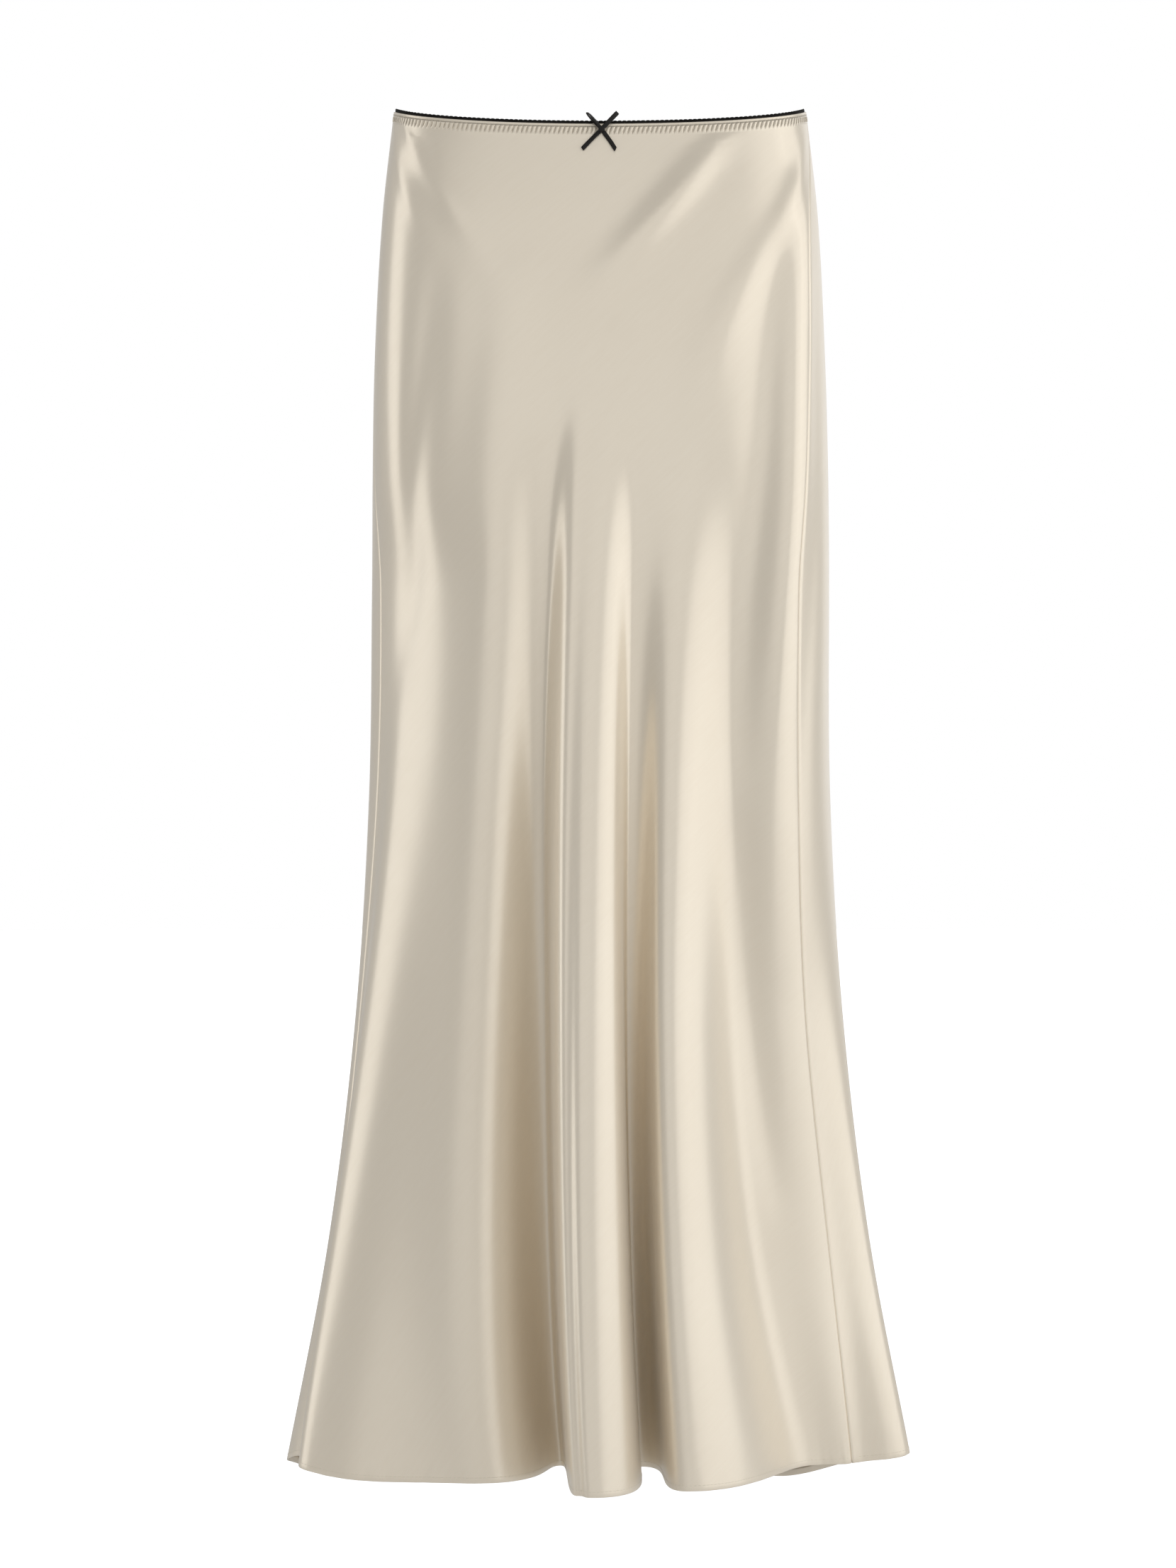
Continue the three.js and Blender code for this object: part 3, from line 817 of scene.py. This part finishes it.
# Which way each tail points, its length, how far its end is cut aslant, and its sideways bow.
BOW_TAILS = [
    ("bow_tail_left", 226, 19.4, 0.2, -0.3),
    ("bow_tail_right", 304.5, 17.4, -0.8, 0.3),
]
LOOP_STEPS, LOOP_SWEEP = 28, 310  # of mesh along a loop, and degrees that it turns through
LOOP_CLEAR, LOOP_FULL = 0.25, 1.3  # above the knot's middle, and how full its sides are
TAIL_STEPS, TAIL_TWIST = 14, 14  # of mesh along a tail, and degrees
TAIL_CLEAR, TAIL_ROOT, TAIL_LIFT = 0.35, 0.9, 0.35  # above the cloth, and more at knot and end
KNOT_SIZE = (4.6, 3.9, 2.7)
KNOT_TURN, KNOT_SWELL = 0.6, (1.25, 1.14, 1.16)  # half width of the turn round it, its growth
RIBBON_THREAD = 0.0002  # metres
RIBBON_BLACK = (0.004, 0.003, 0.002, 1)
RIBBON_GREY = (0.014, 0.0115, 0.009, 1)

knot_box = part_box("bow_knot")
knot_middle = (Vector(knot_box[0]) + Vector(knot_box[1])) / 2
bow_place = Matrix.Translation(knot_middle) @ Matrix.Rotation(math.radians(90 - BOW_LEAN), 4, "X")


RIBBON_ACROSS = (-1, -0.5, 0, 0.5, 1)  # the mesh's places across a ribbon, from edge to edge
RIBBON_CROWN = 0.12  # how much its middle stands above its edges


def ribbon_strip(name, direction, spine, edges):
    """A strip of ribbon: spine points out along an arm, each with its two edges across and out."""
    turn = math.radians(direction)
    rows = []
    for (reach, across, out), (side, rise, slant) in zip(spine, edges):
        for share in RIBBON_ACROSS:
            crown = RIBBON_CROWN * (1 - share * share)
            far, aside = reach + slant * share, across + side * share
            rows.append((
                far * math.cos(turn) - aside * math.sin(turn),
                far * math.sin(turn) + aside * math.cos(turn),
                out + rise * share + crown - KNOT_DEEP,
            ))
    wide = len(RIBBON_ACROSS)
    faces = [
        (wide * r + c, wide * (r + 1) + c, wide * (r + 1) + c + 1, wide * r + c + 1)
        for r in range(len(spine) - 1)
        for c in range(wide - 1)
    ]
    half = RIBBON_WIDE / 2
    pattern = [(reach, share * half) for reach in range(len(spine)) for share in RIBBON_ACROSS]
    strip = sheet_mesh(name, np.array(rows), faces, np.array(pattern))
    thicken(strip, RIBBON_THICK)
    strip.data.transform(bow_place)
    return strip


def ribbon_loop(name, direction, length, deep, turned, turned_tip):
    """Ribbon that goes out from the knot along the cloth, rounds the tip and comes back above."""
    spine, edges = [], []
    for step in range(LOOP_STEPS + 1):
        way = math.radians(LOOP_SWEEP * (step / LOOP_STEPS - 0.5))
        share = (1 + math.cos(way)) / 2
        apart = deep / 2 * math.sin(way) * math.sqrt(share) * LOOP_FULL
        turn = math.radians(turned + (turned_tip - turned) * share)
        side, rise = RIBBON_WIDE / 2 * math.cos(turn), RIBBON_WIDE / 2 * math.sin(turn)
        out = KNOT_DEEP + LOOP_CLEAR + apart * math.cos(turn)
        spine.append((1 + (length - 1) * share, -apart * math.sin(turn), out))
        edges.append((side, rise, 0))
    return ribbon_strip(name, direction, spine, edges)


def ribbon_tail(name, direction, length, slant, bowed):
    """Ribbon that lies down on the cloth from the knot to its cut end."""
    spine, edges = [], []
    for step in range(TAIL_STEPS + 1):
        share = step / TAIL_STEPS
        out = TAIL_CLEAR + TAIL_ROOT * (1 - share) ** 3 + TAIL_LIFT * share**3
        spine.append((1 + (length - 1) * share, bowed * math.sin(math.pi * share), out))
        turn = math.radians(TAIL_TWIST * math.sin(4 * share))
        side, rise = RIBBON_WIDE / 2 * math.cos(turn), RIBBON_WIDE / 2 * math.sin(turn) * 0.6
        edges.append((side, rise, slant * share**2))
    return ribbon_strip(name, direction, spine, edges)


def ribbon_knot():
    """The knot: a pillow of ribbon with one turn of it drawn tight round the middle."""
    bpy.ops.object.select_all(action="DESELECT")
    bpy.ops.mesh.primitive_cube_add(size=MM)
    knot = bpy.context.object
    knot.name = "bow_knot_tied"
    bpy.ops.object.mode_set(mode="EDIT")
    bpy.ops.transform.resize(value=KNOT_SIZE)
    bpy.ops.mesh.subdivide(number_cuts=4)
    bpy.ops.mesh.select_all(action="DESELECT")
    bpy.ops.object.mode_set(mode="OBJECT")
    for vertex in knot.data.vertices:
        vertex.select = abs(vertex.co.x) < KNOT_TURN * MM
    bpy.ops.object.mode_set(mode="EDIT")
    bpy.ops.transform.resize(value=KNOT_SWELL)
    bpy.ops.object.mode_set(mode="OBJECT")
    for _ in range(2):
        smooth = knot.modifiers.new("round", "SUBSURF")
        smooth.levels = smooth.render_levels = 1
        bpy.ops.object.modifier_apply(modifier=smooth.name)
    bpy.ops.object.shade_smooth()
    knot.data.transform(bow_place)
    return knot


def ribbon_material():
    """Black satin ribbon with a fine grain along it and a soft grey sheen."""
    material, tree = new_material("black ribbon")
    place = add_node(tree, "ShaderNodeTexCoord").outputs["Object"]
    threads = add_node(tree, "ShaderNodeGroup", {}, node_tree=weave)
    tree.links.new(place, threads.inputs["Pattern"])
    threads.inputs["Thread"].default_value = RIBBON_THREAD
    threads.inputs["Turn"].default_value = math.radians(50)
    colour = blend(tree, threads.outputs["Slub"], RIBBON_BLACK, RIBBON_GREY)
    relief = add_node(
        tree, "ShaderNodeBump",
        {"Height": threads.outputs["Height"], "Strength": 0.35, "Distance": 0.00006},
    ).outputs["Normal"]
    put_out(tree, add_node(tree, "ShaderNodeBsdfPrincipled", {
        "Base Color": colour, "Normal": relief,
        "Roughness": 0.4, "Specular IOR Level": 0.25, "Sheen Weight": 0.03,
    }))
    return material


bow = {"bow_knot": ribbon_knot()}
for node, *shape in BOW_LOOPS:
    bow[node] = ribbon_loop(node + "_ribbon", *shape)
for node, *shape in BOW_TAILS:
    bow[node] = ribbon_tail(node + "_ribbon", *shape)
ribbon = ribbon_material()
for node, piece in bow.items():
    piece.data.materials.append(ribbon)
    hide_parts(node)
    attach(piece, "root")

# ---------------------------------------------------------------------------------------
# Floor and light
# A pale floor below the hem with a painted glow, seen only by the camera, which pales it further
# into the white of the studio, with a soft box to each side, a weak one over the camera, and the
# white wall behind the skirt as a glow.
FLOOR, FLOOR_REACH = -1.16, 14  # its height and its radius, in metres

bpy.ops.object.select_all(action="DESELECT")
bpy.ops.mesh.primitive_circle_add(
    vertices=96, radius=FLOOR_REACH, fill_type="NGON", location=(0, 0, FLOOR)
)
floor = bpy.context.object
floor.name = "floor"
floor.data.transform(floor.matrix_world)
floor.location = (0, 0, 0)


def floor_material():
    """Matt pale paint with a painted glow, seen only by the camera, which is whiter the farther it is
    from the skirt.
    """
    material, tree = new_material("pale floor")
    place = add_node(tree, "ShaderNodeTexCoord").outputs["Object"]
    flat = add_node(
        tree, "ShaderNodeVectorMath", {0: place, 1: (1, 1, 0)}, operation="MULTIPLY"
    ).outputs[0]
    far = add_node(tree, "ShaderNodeVectorMath", {0: flat}, operation="LENGTH").outputs["Value"]
    glow = add_node(
        tree, "ShaderNodeMapRange",
        {"Value": far, "From Min": 0.1, "From Max": 1.6, "To Min": 0.55, "To Max": 1.0},
        interpolation_type="SMOOTHSTEP",
    ).outputs["Result"]
    # Painted glow: emission that only camera rays see, stronger the farther the floor is from the skirt.
    seen = add_node(tree, "ShaderNodeLightPath").outputs["Is Camera Ray"]
    shown = add_node(tree, "ShaderNodeMath", {0: glow, 1: seen}, operation="MULTIPLY").outputs[0]
    put_out(tree, add_node(tree, "ShaderNodeBsdfPrincipled", {
        "Base Color": (0.8, 0.8, 0.8, 1), "Roughness": 0.9,
        "Emission Strength": shown, "Emission Color": (1, 1, 1, 1),
    }))
    return material


floor.data.materials.append(floor_material())

AIM = Vector((0, 0, -0.49))
SOFT_BOXES = [  # azimuth from the camera's side, distance, height, width, tall, power in watts
    ("right front panel", 45, 2.2, -0.2, 1.6, 3.2, 15.5),
    ("right side panel", 83, 2.2, -0.2, 1.6, 3.2, 15),
    ("left side panel", -85, 2.2, -0.2, 1.4, 3.2, 15.2),
    ("front fill", -2, 3.4, 0.3, 2.4, 3.2, 12),
]
for name, azimuth, distance, high, width, tall, power in SOFT_BOXES:
    lamp = bpy.data.lights.new(name, "AREA")
    lamp.shape = "RECTANGLE"
    lamp.size, lamp.size_y = width, tall
    lamp.energy = power
    box = bpy.data.objects.new(name, lamp)
    turn = math.radians(azimuth)
    box.location = (distance * math.sin(turn), -distance * math.cos(turn), high)
    box.rotation_euler = (AIM - box.location).to_track_quat("-Z", "Y").to_euler()
    bpy.context.scene.collection.objects.link(box)

WALL_GLOW, ROOM_GLOW = 1.0, 0.38
WALL_WAY = (0.26, 0.966, 0)  # the way to the wall's brightest part
WALL_REACH = (0.766, 0.966)  # cosines from it at which the glow starts and is full


def studio_world():
    """White to the camera. It lights the skirt from behind and the right, and a little all round."""
    studio = bpy.data.worlds.new("studio")
    studio.use_nodes = True
    tree = studio.node_tree
    tree.nodes.clear()
    way = add_node(tree, "ShaderNodeTexCoord").outputs["Generated"]
    behind = add_node(
        tree, "ShaderNodeVectorMath", {0: way, 1: WALL_WAY}, operation="DOT_PRODUCT"
    ).outputs["Value"]
    near, full = WALL_REACH
    glow = add_node(
        tree, "ShaderNodeMapRange",
        {"Value": behind, "From Min": near, "From Max": full, "To Min": ROOM_GLOW, "To Max": WALL_GLOW},
        interpolation_type="SMOOTHSTEP",
    ).outputs["Result"]
    seen = add_node(tree, "ShaderNodeLightPath").outputs["Is Camera Ray"]
    light = add_node(tree, "ShaderNodeMath", {0: glow, 1: seen}, operation="MAXIMUM").outputs[0]
    sky = add_node(tree, "ShaderNodeBackground", {"Color": (1, 1, 1, 1), "Strength": light})
    output = add_node(tree, "ShaderNodeOutputWorld")
    tree.links.new(sky.outputs["Background"], output.inputs["Surface"])
    return studio


bpy.context.scene.world = studio_world()
bpy.context.scene.view_settings.view_transform = "Standard"
